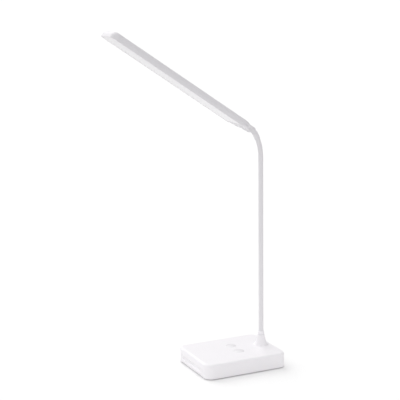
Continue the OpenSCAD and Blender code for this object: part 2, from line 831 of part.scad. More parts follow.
// The neck's end piece: a curved sleeve over the tube, a web and the hinge eye
module neck_knuckle() {
    web_r = 2.6;
    reach = sqrt(pivot_ahead * pivot_ahead + pivot_along * pivot_along);
    off_y = eye_r * pivot_along / reach;
    off_z = eye_r * pivot_ahead / reach;
    color(white) difference() {
        union() {
            round_bend(sleeve_r, bend_angle - sleeve_turn, bend_angle + bend_over);
            at_neck_end() {
                translate([0, 0, over / 2])
                    cylinder(r1 = sleeve_r - bond_gap, r2 = sleeve_tip_r, h = sleeve_lip);
                translate([-eye_w / 2, 0, 0]) rotate([90, 0, 90]) linear_extrude(eye_w) polygon([
                    [web_r, 0], [-web_r, 0],
                    [-pivot_ahead - off_y, pivot_along - off_z],
                    [-pivot_ahead + off_y, pivot_along + off_z]
                ]);
                translate([-eye_w / 2, -pivot_ahead, pivot_along]) rotate([0, 90, 0])
                    cylinder(r = eye_r, h = eye_w);
            }
        }
        round_bend(tube_r + bond_gap, 0, bend_angle + bond_turn);
        round_bend(cable_r + bond_gap, 0, bend_angle + bend_over + bond_turn);
        at_neck_end() translate([-eye_w, -pivot_ahead, pivot_along]) rotate([0, 90, 0])
            cylinder(r = hinge_screw_r + run_gap, h = 2 * eye_w);
    }
}

// ---- Head ----

// Puts its children at the hinge, with -Y along the head and +Z out of its top
module at_hinge() {
    at_neck_end() translate([0, -pivot_ahead, pivot_along])
        rotate([-bend_angle - head_tilt, 0, 0]) children();
}

// A rod or bore across the head, centred on the hinge's axis
module across(r, low_x, high_x) {
    translate([low_x, 0, 0]) rotate([0, 90, 0]) cylinder(r = r, h = high_x - low_x);
}

// The fork: a bar with rounded edges whose end is round about the hinge
module fork() {
    intersection() {
        translate([-tail_w / 2, 0, 0]) rotate([90, 0, 90]) linear_extrude(tail_w) {
            polygon([
                [0, tail_r], [-fork_run, head_top], [-fork_run, split_z],
                [-fork_front, split_z], [-fork_front, tail_bottom], [0, -tail_r]
            ]);
            circle(r = tail_r);
        }
        translate([0, tail_r + over, (tail_r + tail_bottom) / 2]) rotate([90, 0, 0])
            rounded_plate(tail_w, tail_r - tail_bottom, fork_run + tail_r + 2 * over,
                          tail_edge_r, tail_edge_r);
    }
}

// The outline of head and tail as a slab with a rounded top edge, drawn in by a margin
module head_slab(margin, high, edge_r) {
    translate([0, whole_mid, 0])
        rounded_slab(head_w - 2 * margin, whole_len - 2 * margin, high,
                     max(tip_corner_r - margin, edge_r), tail_corner_r - margin, edge_r);
}

// The hollow of the head: open below over the diffuser's seat, and again over the tail cover
module head_cavity() {
    seat_end = head_back - cavity_inset;
    low = head_bottom - over;
    front = head_back - head_len;
    intersection() {
        translate([0, 0, low]) head_slab(cavity_inset, cavity_top - low, cavity_edge_r);
        translate([-head_w / 2, 0, 0]) rotate([90, 0, 90]) linear_extrude(head_w) polygon([
            [front, low - over], [seat_end, low - over], [seat_end, split_z],
            [head_back, split_z], [head_back, low - over], [tail_cavity_y, low - over],
            [tail_cavity_y, head_top], [front, head_top]
        ]);
    }
}

// Puts its children at the two screws that hold the tail cover
module at_tail_screws() {
    for (side = [-1, 1]) translate([side * tail_screw_x, tail_screw_y, 0]) children();
}

module head_shell() {
    color(white) at_hinge() difference() {
        union() {
            difference() {
                union() {
                    difference() {
                        translate([0, 0, head_bottom]) head_slab(0, head_t, head_edge_r);
                        box([-head_w, head_back, head_bottom - over], [head_w, over, split_z]);
                    }
                    fork();
                }
                head_cavity();
            }
            at_tail_screws() translate([0, 0, split_z])
                cylinder(r = 2 * tail_screw[0], h = cavity_top - split_z + over / 2);
        }
        translate([0, head_mid, head_bottom - over])
            rounded_plate(head_w - 2 * rim_w, head_len - 2 * rim_w, seat_depth + over,
                          tip_corner_r - rim_w, seat_corner_r);
        box([-slot_w / 2, slot_front, head_bottom - over],
            [slot_w / 2, tail_r + over, tail_r + over]);
        translate([0, tail_cavity_y - over, head_cable_z]) rotate([-90, 0, 0])
            cylinder(r = cable_r + bond_gap, h = slot_front - tail_cavity_y + 2 * over);
        at_tail_screws() translate([0, 0, split_z - over])
            cylinder(r = tail_screw[0] + bond_gap, h = tail_screw[3] - tail_screw_hold + over);
        across(hinge_screw_r + bond_gap, -tail_w, tail_w);
        across(recess_r, -tail_w, -recess_x);
        across(recess_r, recess_x, tail_w);
    }
}

// The cover under the tail, with a rounded lower edge
module tail_cover() {
    color(white) at_hinge() difference() {
        translate([0, 0, split_z - bond_gap]) mirror([0, 0, 1])
            head_slab(tail_cover_in, tail_cover_t, tail_cover_edge_r);
        box([-head_w, head_back - 2 * head_len, head_bottom - over],
            [head_w, head_back + cover_gap, split_z + over]);
        at_tail_screws() {
            translate([0, 0, head_bottom - over])
                cylinder(r = tail_screw[0] + 2 * bond_gap, h = tail_cover_t + 2 * over);
            translate([0, 0, head_bottom - over])
                cylinder(r = tail_screw[1] + slide_gap, h = tail_screw_seat - head_bottom + over);
        }
    }
}

module tail_screws() {
    color(steel) at_hinge() at_tail_screws() translate([0, 0, tail_screw_seat]) screw(tail_screw);
}

module led_strip() {
    color([0.9, 0.92, 0.9]) at_hinge()
        translate([-led_board_w / 2, strip_mid - strip_len / 2, strip_z])
            cube([led_board_w, strip_len, led_board_t]);
}

// Puts its children at each chip's place along the strip
module at_leds() {
    for (i = [0 : led_count - 1])
        translate([0, strip_mid + (i - (led_count - 1) / 2) * led_pitch, 0]) children();
}

module led_chips() {
    color([0.98, 0.9, 0.55]) at_hinge() at_leds()
        translate([-led_size[1] / 2, -led_size[0] / 2, strip_z - led_size[2]])
        cube([led_size[1], led_size[0], led_size[2]]);
}

module reflector() {
    hole_gap = 0.4;
    color("white") at_hinge() difference() {
        translate([-reflector_w / 2, strip_mid - strip_len / 2 + 6, reflector_z])
            cube([reflector_w, strip_len - 12, reflector_t]);
        at_leds() translate([-led_size[1] / 2 - hole_gap, -led_size[0] / 2 - hole_gap, reflector_z - over])
            cube([led_size[1] + 2 * hole_gap, led_size[0] + 2 * hole_gap, reflector_t + 2 * over]);
    }
}

module diffuser() {
    edge = rim_w + cover_gap;
    color([0.97, 0.97, 0.95, 0.9]) at_hinge()
        translate([0, head_mid, head_bottom + diffuser_recess])
            rounded_plate(head_w - 2 * edge, head_len - 2 * edge, diffuser_t,
                          tip_corner_r - edge, seat_corner_r - cover_gap);
}

module head_cable() {
    color("black") at_hinge()
        translate([0, head_cable_end, head_cable_z]) rotate([-90, 0, 0])
            cylinder(r = cable_r, h = slot_front - head_cable_end - slide_gap);
}

module hinge_screw() {
    color(steel) at_hinge() {
        across(hinge_head[0], -recess_x - hinge_head[1], -recess_x);
        across(hinge_screw_r, -recess_x, recess_x + hinge_nut_size[1]);
    }
}

module hinge_nut() {
    color(steel) at_hinge() difference() {
        translate([recess_x, 0, 0]) rotate([0, 90, 0])
            cylinder(d = hinge_nut_size[0] / cos(30), h = hinge_nut_size[1], $fn = 6);
        across(hinge_screw_r + bond_gap, 0, tail_w);
    }
}

module friction_washers() {
    inner_x = eye_w / 2 + run_gap;
    color(steel) at_hinge() for (side = [0, 1]) mirror([side, 0, 0]) difference() {
        across(eye_r, inner_x, inner_x + washer_t);
        across(hinge_screw_r + bond_gap, 0, tail_w);
    }
}

module hinge_caps() {
    cap_x = tail_w / 2 - hinge_cap_t;
    color(white) at_hinge() for (side = [0, 1]) mirror([side, 0, 0])
        across(recess_r - bond_gap, cap_x, tail_w / 2);
}

base_shell();
base_cover();
base_pad();
counterweight();
lithium_cell();
control_board();
charging_socket();
key_switches();
board_screws();
cover_screws();
base_cable();
cell_leads();
power_key();
mode_key();
drawer_tray();
drawer_front();
neck_tube();
neck_collar();
neck_spigot();
stop_washer();
wave_washer();
neck_nut();
neck_cable();
neck_knuckle();
head_shell();
led_strip();
led_chips();
reflector();
diffuser();
head_cable();
tail_cover();
tail_screws();
hinge_screw();
hinge_nut();
friction_washers();
hinge_caps();
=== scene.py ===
import json
import math

import bpy
from mathutils import Matrix, Vector

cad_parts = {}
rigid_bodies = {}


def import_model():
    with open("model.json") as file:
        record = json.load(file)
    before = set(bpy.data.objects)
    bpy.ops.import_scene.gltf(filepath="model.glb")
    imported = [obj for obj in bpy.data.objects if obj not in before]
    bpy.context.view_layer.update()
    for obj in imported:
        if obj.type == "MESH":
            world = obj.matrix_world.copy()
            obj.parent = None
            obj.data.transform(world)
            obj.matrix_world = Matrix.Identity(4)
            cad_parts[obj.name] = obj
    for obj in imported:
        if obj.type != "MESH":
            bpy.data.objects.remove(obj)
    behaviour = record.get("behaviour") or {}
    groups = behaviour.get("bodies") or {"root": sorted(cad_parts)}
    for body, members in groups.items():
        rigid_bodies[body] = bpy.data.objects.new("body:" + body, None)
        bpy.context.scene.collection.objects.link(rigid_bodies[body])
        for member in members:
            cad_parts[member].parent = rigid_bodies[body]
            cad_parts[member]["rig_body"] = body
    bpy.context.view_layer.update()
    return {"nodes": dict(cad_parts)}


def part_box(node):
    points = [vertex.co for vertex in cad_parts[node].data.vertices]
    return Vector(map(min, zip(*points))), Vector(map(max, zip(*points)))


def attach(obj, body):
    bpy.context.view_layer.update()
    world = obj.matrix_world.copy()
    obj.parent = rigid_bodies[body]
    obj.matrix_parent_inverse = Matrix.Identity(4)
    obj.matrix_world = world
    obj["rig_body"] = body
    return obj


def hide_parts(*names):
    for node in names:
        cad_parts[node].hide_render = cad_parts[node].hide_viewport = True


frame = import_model()

# ---------------------------------------------------------------------------
# The camera. It stands in front of the lamp and well to its right, a little
# higher than the hinge, and looks slightly down with a long lens.
# ---------------------------------------------------------------------------
camera_turn = math.radians(64.984)
camera_pitch = math.radians(11.6642)
camera_roll = math.radians(-0.7152)
camera_place = Vector((1.4112476, -0.7059344, 0.5673983))
camera_lens, camera_film = 103.4935, 36.0

ahead = Vector((-math.sin(camera_turn) * math.cos(camera_pitch),
                math.cos(camera_turn) * math.cos(camera_pitch),
                -math.sin(camera_pitch)))
level = Vector((math.cos(camera_turn), math.sin(camera_turn), 0.0))
upward = level.cross(ahead)
sideways = math.cos(camera_roll) * level + math.sin(camera_roll) * upward
upright = -math.sin(camera_roll) * level + math.cos(camera_roll) * upward

camera_data = bpy.data.cameras.new("camera")
camera_data.sensor_width = camera_film
camera_data.lens = camera_lens
camera = bpy.data.objects.new("camera", camera_data)
bpy.context.scene.collection.objects.link(camera)
camera.matrix_world = (Matrix.Translation(camera_place)
                       @ Matrix((sideways, upright, -ahead)).transposed().to_4x4())
bpy.context.scene.camera = camera

# ---------------------------------------------------------------------------
# Base shell. One injection moulding in white ABS with a fine satin texture
# from the tool: the top, the trumpet-shaped boss for the neck, and inside it
# the bearing, the pillars and the posts for the board.
# ---------------------------------------------------------------------------


class Value:
    """A shader value that takes Python's arithmetic and adds a Math node for each step."""

    def __init__(self, finish, socket):
        self.finish = finish
        self.socket = socket

    def _maths(self, operation, first, second):
        return self.finish.add("ShaderNodeMath", {"operation": operation}, {0: first, 1: second})

    def __add__(self, other):
        return self._maths("ADD", self, other)

    def __sub__(self, other):
        return self._maths("SUBTRACT", self, other)

    def __mul__(self, other):
        return self._maths("MULTIPLY", self, other)

    def __truediv__(self, other):
        return self._maths("DIVIDE", self, other)

    def __pow__(self, other):
        return self._maths("POWER", self, other)

    def __radd__(self, other):
        return self._maths("ADD", other, self)

    def __rsub__(self, other):
        return self._maths("SUBTRACT", other, self)

    def __rmul__(self, other):
        return self._maths("MULTIPLY", other, self)

    def below(self, edge):
        return self._maths("LESS_THAN", self, edge)

    def most(self, other):
        return self._maths("MAXIMUM", self, other)

    def least(self, other):
        return self._maths("MINIMUM", self, other)


class Finish:
    """A material of this lamp: a Principled shader, and one method that adds any other node."""

    def __init__(self, name, **uniform):
        self.material = bpy.data.materials.new(name)
        self.material.use_nodes = True
        self.tree = self.material.node_tree
        self.tree.nodes.clear()
        self.output = self.tree.nodes.new("ShaderNodeOutputMaterial")
        self.shader = self.tree.nodes.new("ShaderNodeBsdfPrincipled")
        self.tree.links.new(self.shader.outputs[0], self.output.inputs["Surface"])
        self.set(**uniform)
        self.place = self.add("ShaderNodeTexCoord", {}, {}, "Object")

    def add(self, kind, settings, inputs, result=0):
        """Adds a node: its settings come first, then the values or links of its sockets."""
        node = self.tree.nodes.new(kind)
        for name, setting in settings.items():
            setattr(node, name, setting)
        for name, value in inputs.items():
            self.feed(node.inputs[name], value)
        return Value(self, node.outputs[result])

    def feed(self, socket, value):
        """Links a shader value to a socket, or writes a plain one there."""
        if isinstance(value, Value):
            self.tree.links.new(value.socket, socket)
        elif isinstance(value, (tuple, list)) and len(value) == 3 and socket.type == "RGBA":
            socket.default_value = (*value, 1.0)
        else:
            socket.default_value = value

    def set(self, **inputs):
        """Sets the shader's own sockets: words_like_this name a socket Words Like This."""
        for name, value in inputs.items():
            self.feed(self.shader.inputs[name.replace("_", " ").title().replace("Ior", "IOR")], value)

    def noise(self, scale, detail=2.0, roughness=0.5, stretch=(1.0, 1.0, 1.0), seed=0.0):
        """Noise from 0 to 1, with this many features a metre; the seed moves it to another spot."""
        where = self.add("ShaderNodeMapping", {}, {"Vector": self.place, "Scale": stretch,
                                                   "Location": (seed, seed * 0.7, seed * 1.3)})
        return self.add("ShaderNodeTexNoise", {}, {"Vector": where, "Scale": scale, "Detail": detail,
                                                   "Roughness": roughness})

    def tint(self, factor, dark, light):
        """A colour between two colours: dark where the factor is 0, light where it is 1."""
        return self.add("ShaderNodeMix", {"data_type": "RGBA"}, {0: factor, 6: dark, 7: light}, 2)

    def relief(self, height, depth, strength=1.0):
        """Raises the surface by height, given from 0 to 1, times depth in metres."""
        self.set(Normal=self.add("ShaderNodeBump", {}, {"Height": height, "Strength": strength,
                                                        "Distance": depth}))


def shades(colour, spread):
    """The same colour a little darker and a little lighter."""
    return tuple(c * (1 - spread) for c in colour), tuple(min(1.0, c * (1 + spread)) for c in colour)


def moulded(name, colour, roughness=0.42, spark=900.0, depth=0.000012, seed=0.0):
    """Satin moulded plastic: a faint drift of colour from the flow, and the tool's fine spark
    texture, with this many sparks a metre and this depth in metres."""
    finish = Finish(name, Specular_Ior_Level=0.42)
    flow = finish.noise(14.0, detail=3.0, roughness=0.55, seed=seed)
    spots = finish.noise(spark, detail=3.0, roughness=0.6, seed=seed)
    rubbed = finish.noise(55.0, detail=4.0, roughness=0.6, seed=seed + 3.0)
    dark, light = shades(colour, 0.02)
    finish.set(Base_Color=finish.tint(flow * 0.8 + spots * 0.2, dark, light),
               Roughness=roughness - 0.06 + rubbed * 0.08 + spots * 0.04)
    finish.relief(spots, depth)
    return finish.material


def wear(node, material):
    """Gives a CAD piece its finish."""
    for slot in frame["nodes"][node].material_slots:
        slot.material = material


white = (0.924, 0.905, 0.932)
shell_plastic = moulded("shell_plastic", white)
wear("base_shell", shell_plastic)

# ---------------------------------------------------------------------------
# Charging socket, switches and board. The socket is a drawn steel shell round
# a black tongue, the switches are standard 6 mm ones, and the board is green
# fibreglass with the copper a shade lighter under its mask. Four screws hold it.
# ---------------------------------------------------------------------------


def metal(name, colour, roughness, streak=(1.0, 1.0, 1.0), fineness=1800.0, depth=0.000004,
          seed=0.0):
    """Plated or rolled metal with fine streaks, drawn out along the axis with the least streak."""
    finish = Finish(name, Metallic=1.0)
    streaks = finish.noise(fineness, detail=3.0, roughness=0.6, stretch=streak, seed=seed)
    cloud = finish.noise(70.0, detail=3.0, seed=seed + 2.0)
    dark, light = shades(colour, 0.08)
    finish.set(Base_Color=finish.tint(streaks * 0.5 + cloud * 0.5, dark, light),
               Roughness=roughness - 0.07 + streaks * 0.08 + cloud * 0.06)
    finish.relief(streaks, depth)
    return finish.material


smooth_angle = math.radians(35.0)   # faces that meet more flatly than this are shaded as one
facet_angle = math.radians(0.4)     # triangles as flat as this are one face
sharp_angle = math.radians(40.0)    # edges sharper than this are rounded
weld_distance = 0.000002


def alone(piece):
    """Selects this piece and nothing else."""
    bpy.ops.object.select_all(action="DESELECT")
    piece.select_set(True)
    bpy.context.view_layer.objects.active = piece


def finished(piece, *materials):
    """Fixes the piece's place in its mesh, smooths what is round, and gives it its finish."""
    alone(piece)
    bpy.ops.object.transform_apply(location=True, rotation=True, scale=True)
    bpy.ops.object.shade_smooth_by_angle(angle=smooth_angle)
    for material in materials:
        piece.data.materials.append(material)
    return piece


def softened(node, material, width, segments=2):
    """A CAD piece again, with its facets merged and its sharp edges rounded as the tool leaves them."""
    source = frame["nodes"][node]
    mesh = source.data.copy()
    mesh.materials.clear()
    piece = bpy.data.objects.new("soft_" + node, mesh)
    bpy.context.scene.collection.objects.link(piece)
    alone(piece)
    bpy.ops.object.mode_set(mode="EDIT")
    bpy.ops.mesh.select_all(action="SELECT")
    bpy.ops.mesh.customdata_custom_splitnormals_clear()
    bpy.ops.mesh.remove_doubles(threshold=weld_distance)
    bpy.ops.mesh.dissolve_limited(angle_limit=facet_angle)
    bpy.ops.object.mode_set(mode="OBJECT")
    rounding = piece.modifiers.new("rounding", "BEVEL")
    rounding.width = width
    rounding.segments = segments
    rounding.limit_method = "ANGLE"
    rounding.angle_limit = sharp_angle
    bpy.ops.object.modifier_apply(modifier="rounding")
    finished(piece, material)
    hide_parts(node)
    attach(piece, source["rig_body"])
    return piece


def block(name, low, high, material, rounding, segments=2):
    """A pressed or moulded block between two corners, with rounded edges."""
    bpy.ops.object.select_all(action="DESELECT")
    bpy.ops.mesh.primitive_cube_add(size=1.0, location=[(a + b) / 2 for a, b in zip(low, high)],
                                    scale=[b - a for a, b in zip(low, high)])
    piece = bpy.context.active_object
    piece.name = name
    bpy.ops.object.transform_apply(location=True, rotation=True, scale=True)
    bpy.ops.object.mode_set(mode="EDIT")
    bpy.ops.mesh.select_all(action="SELECT")
    bpy.ops.mesh.bevel(offset=rounding, segments=segments, affect="EDGES")
    bpy.ops.object.mode_set(mode="OBJECT")
    return finished(piece, material)


def joined(name, *pieces):
    """One piece made of several that are fixed together."""
    alone(pieces[0])
    for piece in pieces[1:]:
        piece.select_set(True)
    bpy.ops.object.join()
    pieces[0].name = name
    return pieces[0]


zinc = metal("zinc_plate", (0.66, 0.68, 0.71), roughness=0.32)
wear("board_screws", zinc)
switch_plastic = moulded("switch_plastic", (0.03, 0.03, 0.035), roughness=0.5, seed=5.0)
wear("key_switches", switch_plastic)

socket_low, socket_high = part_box("charging_socket")
socket_middle = (socket_low + socket_high) / 2
tongue_half = Vector((0.0033, 0.0, 0.0004))
contact_pitch, contact_share, contact_from_mouth = 0.0005, 0.28, 0.0016
contact_finish = Finish("socket_tongue", Specular_Ior_Level=0.4)
contact_x, contact_y, _ = (contact_finish.add(
    "ShaderNodeSeparateXYZ", {}, {"Vector": contact_finish.place}, i) for i in range(3))
strip_wave = contact_finish.add("ShaderNodeMath", {"operation": "PINGPONG"},
                                {0: contact_x - socket_middle.x, 1: contact_pitch / 2})
contacts = (strip_wave.below(contact_pitch * contact_share)
            * contact_y.below(socket_high.y - contact_from_mouth))
tongue_grain = contact_finish.noise(2500.0)
contact_finish.set(Base_Color=contact_finish.tint(contacts, (0.02, 0.02, 0.022), (0.83, 0.6, 0.25)),
                   Metallic=contacts, Roughness=0.34 + tongue_grain * 0.12)
contact_finish.relief(tongue_grain, depth=0.000004)
socket = softened("charging_socket", zinc, width=0.00007)
socket.data.materials.append(contact_finish.material)
for face in socket.data.polygons:
    off = face.center - socket_middle
    if abs(off.x) < tongue_half.x and abs(off.z) < tongue_half.z:
        face.material_index = 1

board_finish = Finish("board_mask", Coat_Weight=0.3)
tracks = board_finish.add("ShaderNodeTexBrick", {"offset": 0.37, "squash": 0.8, "squash_frequency": 3},
                          {"Vector": board_finish.place, "Scale": 260.0, "Mortar Size": 0.03,
                           "Mortar Smooth": 0.1, "Brick Width": 1.7, "Row Height": 0.6,
                           "Color1": (0.0, 0.0, 0.0), "Color2": (0.0, 0.0, 0.0),
                           "Mortar": (1.0, 1.0, 1.0)})
mask_cloud = board_finish.noise(90.0, detail=3.0)
board_finish.set(Base_Color=board_finish.tint(
    tracks * 0.8 + mask_cloud * 0.2, (0.012, 0.12, 0.06), (0.05, 0.3, 0.14)),
    Roughness=0.3 + mask_cloud * 0.12)
board_finish.relief(tracks, depth=0.00003)
wear("control_board", board_finish.material)

board_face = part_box("key_switches")[0].z
ceramic = moulded("ceramic", (0.5, 0.36, 0.22), roughness=0.45, spark=2500.0, seed=31.0)
tin = metal("tinned_lead", (0.75, 0.76, 0.78), roughness=0.28, seed=33.0)
plug_plastic = moulded("plug_plastic", (0.86, 0.84, 0.78), roughness=0.45, seed=35.0)
ferrite = moulded("ferrite", (0.09, 0.09, 0.095), roughness=0.6, spark=3000.0, depth=0.00003, seed=37.0)


def on_board(x, y, wide, long, high, lift=0.0):
    """The low and high corner of a part that stands on the board, in metres."""
    return ((x - wide / 2, y - long / 2, board_face + lift),
            (x + wide / 2, y + long / 2, board_face + lift + high))


# Each size is width, length and height. The bodies stand a hair above the board, on their leads.
chip_y, chip_body_size, chip_lift = 0.020, (0.0050, 0.0040, 0.0014), 0.0001
leg_size, leg_pitch, leg_reach, legs_a_side = (0.0004, 0.0012, 0.0002), 0.00127, 0.0025, 4
coil_place, coil_size = (0.0095, 0.0215), (0.0050, 0.0050, 0.0028)
plug_size = (0.0060, 0.0034, 0.0036)
plug_places = (("cell_plug", 0.0, 0.0125), ("neck_plug", 0.0, 0.0295))
end_size, end_reach = (0.0004, 0.00086, 0.00086), 0.00065
middle_size, middle_lift = (0.0010, 0.0008, 0.0008), 0.00002
capacitor_places = ((-0.0065, 0.0165), (-0.0065, 0.0190), (-0.0065, 0.0215), (-0.0110, 0.0178),
                    (-0.0110, 0.0205), (0.0160, 0.0195), (-0.0190, 0.0250), (-0.0210, 0.0280))

charge_chip = [block("chip_body", *on_board(0.0, chip_y, *chip_body_size, chip_lift),
                     switch_plastic, rounding=0.00015)]
for side in (-1, 1):
    for number in range(legs_a_side):
        leg_x = (number - (legs_a_side - 1) / 2) * leg_pitch
        charge_chip.append(block("leg", *on_board(leg_x, chip_y + side * leg_reach, *leg_size),
                                 tin, rounding=0.00005, segments=1))
board_parts = [joined("charge_chip", *charge_chip),
               block("storage_coil", *on_board(*coil_place, *coil_size), ferrite,
                     rounding=0.0006, segments=3)]
for name, place_x, place_y in plug_places:
    board_parts.append(block(name, *on_board(place_x, place_y, *plug_size), plug_plastic,
                             rounding=0.0002))
for number, (place_x, place_y) in enumerate(capacitor_places):
    ends = [block("end", *on_board(place_x + side * end_reach, place_y, *end_size), tin,
                  rounding=0.00006, segments=1) for side in (-1, 1)]
    middle = block("middle", *on_board(place_x, place_y, *middle_size, middle_lift), ceramic,
                   rounding=0.00004, segments=1)
    board_parts.append(joined(f"capacitor_{number + 1}", middle, *ends))
for piece in board_parts:
    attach(piece, "base")

# ---------------------------------------------------------------------------
# Keys. Two round caps moulded like the shell, each slightly domed so that the
# fingertip finds it, and held in from below by a flange.
# ---------------------------------------------------------------------------
key_plastic = moulded("key_plastic", (0.85, 0.835, 0.86), roughness=0.38, seed=9.0)
for key in ("power_key", "mode_key"):
    softened(key, key_plastic, width=0.0003, segments=3)

# ---------------------------------------------------------------------------
# Counterweight, cell, and the cable and leads in the base. The weight is a
# sheared piece of rolled steel; the cell is a foil pouch with a seam of tape.
# ---------------------------------------------------------------------------
wear("counterweight", metal("rolled_steel", (0.42, 0.43, 0.45), roughness=0.42,
                            streak=(1.0, 12.0, 12.0), fineness=300.0, seed=1.0))

foil_finish = Finish("foil_pouch", Metallic=0.9)
creases = foil_finish.noise(240.0, detail=5.0, roughness=0.62)
_, foil_y, _ = (foil_finish.add(
    "ShaderNodeSeparateXYZ", {}, {"Vector": foil_finish.place}, i) for i in range(3))
tape_width = 0.005
tape = foil_y.below(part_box("lithium_cell")[0].y + tape_width)
foil_finish.set(Base_Color=foil_finish.tint(tape, (0.68, 0.7, 0.73), (0.6, 0.3, 0.05)),
                Roughness=0.28 + creases * 0.2)
foil_finish.relief(creases, depth=0.00012, strength=0.6)
wear("lithium_cell", foil_finish.material)


def jacket(name, colour, seed=0.0):
    """Soft extruded jacket with a dull skin."""
    finish = Finish(name, Specular_Ior_Level=0.35)
    skin = finish.noise(700.0, seed=seed)
    drift = finish.noise(40.0, seed=seed)
    finish.set(Base_Color=finish.tint(drift, *shades(colour, 0.05)), Roughness=0.5 + skin * 0.12)
    finish.relief(skin, depth=0.00001)
    return finish.material


cable_jacket = jacket("cable_jacket", (0.82, 0.82, 0.8))
wear("base_cable", cable_jacket)
wear("cell_leads", jacket("red_lead", (0.6, 0.04, 0.03), seed=4.0))

# ---------------------------------------------------------------------------
# Bottom cover and pad. The cover is moulded in the same white and held by four
# screws; the pad is a pale silicone sheet stuck over it and them.
# ---------------------------------------------------------------------------
inner_plastic = moulded("inner_plastic", (0.91, 0.895, 0.92), roughness=0.5, spark=600.0, seed=12.0)
wear("base_cover", inner_plastic)
wear("cover_screws", zinc)

pad_finish = Finish("silicone_pad", Specular_Ior_Level=0.3)
pores = pad_finish.noise(1100.0, detail=4.0, roughness=0.7)
dust = pad_finish.noise(60.0, detail=4.0, roughness=0.6)
pad_finish.set(Base_Color=pad_finish.tint(dust, (0.76, 0.76, 0.76), (0.84, 0.84, 0.84)),
               Roughness=0.72 + pores * 0.15)
pad_finish.relief(pores, depth=0.00003)
softened("base_pad", pad_finish.material, width=0.0004, segments=3)

# ---------------------------------------------------------------------------
# Drawer. A shallow moulded tray with a front panel pegged to it; the panel
# has a long groove for the fingertip. The mould's ejector pins have left four
# faint round prints in the tray's floor.
# ---------------------------------------------------------------------------


def cut(piece, tool):
    """Takes the tool's shape out of a piece and throws the tool away."""
    taken = piece.modifiers.new("taken", "BOOLEAN")
    taken.operation = "DIFFERENCE"
    taken.solver = "EXACT"
    taken.object = tool
    alone(piece)
    bpy.ops.object.modifier_apply(modifier="taken")
    bpy.data.objects.remove(tool)


tray_floor, print_radius, print_depth, print_facets = 0.0058, 0.0025, 0.00015, 48
print_reach, print_rows = 0.020, (-0.045, -0.020)
tray = softened("drawer_tray", inner_plastic, width=0.0003)
for print_y in print_rows:
    for side in (-1, 1):
        bpy.ops.object.select_all(action="DESELECT")
        bpy.ops.mesh.primitive_cylinder_add(vertices=print_facets, radius=print_radius,
                                            depth=2 * print_depth,
                                            location=(side * print_reach, print_y, tray_floor))
        cut(tray, bpy.context.active_object)
bpy.ops.object.shade_smooth_by_angle(angle=smooth_angle)
softened("drawer_front", shell_plastic, width=0.0005, segments=3)

# ---------------------------------------------------------------------------
# Neck. A thin steel tube, bent once and powder-coated white, with a moulded
# collar at its foot and a coated hinge piece at its end. The spigot, washers
# and nut that let it turn in the base are bare zinc-plated steel.
# ---------------------------------------------------------------------------


def enamelled(name, colour, roughness=0.38, seed=0.0):
    """Powder coat: smooth satin with the slight orange-peel of the melted powder."""
    finish = Finish(name, Coat_Weight=0.15, Coat_Roughness=0.2)
    peel = finish.noise(520.0, seed=seed)
    drift = finish.noise(22.0, detail=3.0, seed=seed)
    finish.set(Base_Color=finish.tint(drift, *shades(colour, 0.015)),
               Roughness=roughness - 0.03 + peel * 0.08)
    finish.relief(peel, depth=0.00002)
    return finish.material


neck_enamel = enamelled("neck_enamel", (0.8, 0.784, 0.81))
wear("neck_tube", neck_enamel)
softened("neck_knuckle", neck_enamel, width=0.0003, segments=3)
softened("neck_collar", moulded("collar_plastic", white, seed=15.0), width=0.0002)
for name in ("neck_spigot", "stop_washer", "wave_washer", "neck_nut"):
    wear(name, zinc)
wear("neck_cable", cable_jacket)

# ---------------------------------------------------------------------------
# Head. A long flat moulding with a forked tail, held to the neck by the hinge's
# screw, nut and washers. Under its top lie the strip with its chips and the
# reflector; a milky diffuser closes the underside.
# ---------------------------------------------------------------------------
# The head's plastic is a greyer copy of the base's white: its darker colour is partly a greyer finish and
# partly painted shade for the weaker light that reaches the head.
head_plastic_with_painted_shade = moulded("head_plastic_with_painted_shade", (0.805, 0.789, 0.815), roughness=0.4, seed=20.0)
wear("head_shell", head_plastic_with_painted_shade)
softened("tail_cover", head_plastic_with_painted_shade, width=0.0005)
softened("hinge_caps", head_plastic_with_painted_shade, width=0.00015)
strip_mask = moulded("strip_mask", (0.88, 0.88, 0.86), roughness=0.4, seed=22.0)
wear("led_strip", strip_mask)
wear("reflector", moulded("reflector_sheet", (0.95, 0.95, 0.95), roughness=0.25, seed=24.0))
for name in ("hinge_screw", "hinge_nut", "friction_washers"):
    wear(name, zinc)
wear("head_cable", cable_jacket)

# The head's own place: its middle line runs along -Y from the hinge, rising by this angle.
hinge_low, hinge_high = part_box("hinge_screw")
head_rise = math.radians(34.2)
hinge_middle = (hinge_low + hinge_high) / 2
head_place = (Matrix.Translation((0.0, hinge_middle.y, hinge_middle.z))
              @ Matrix.Rotation(-head_rise, 4, "X"))

diffuser_finish = Finish("milky_diffuser", Specular_Ior_Level=0.5)
frost = diffuser_finish.noise(1500.0, detail=3.0, roughness=0.6)
haze = diffuser_finish.noise(12.0)
diffuser_finish.set(Base_Color=diffuser_finish.tint(haze, (0.95, 0.935, 0.955), (0.975, 0.96, 0.98)),
                    Roughness=0.3 + frost * 0.1)
diffuser_finish.relief(frost, depth=0.000006)
softened("diffuser", diffuser_finish.material, width=0.0003)

# ---------------------------------------------------------------------------
# Light-emitting chips. Each is a small white package with a well of yellow
# phosphor facing the diffuser, soldered to the strip at an even pitch.
# ---------------------------------------------------------------------------
chip_count, chip_pitch = 23, 0.009
chip_size = Vector((0.0035, 0.0028, 0.0007))
chip_top, chips_middle = 0.0017, -0.1362
chip_rim, chip_well, phosphor_edge = 0.00035, 0.00018, 0.00004

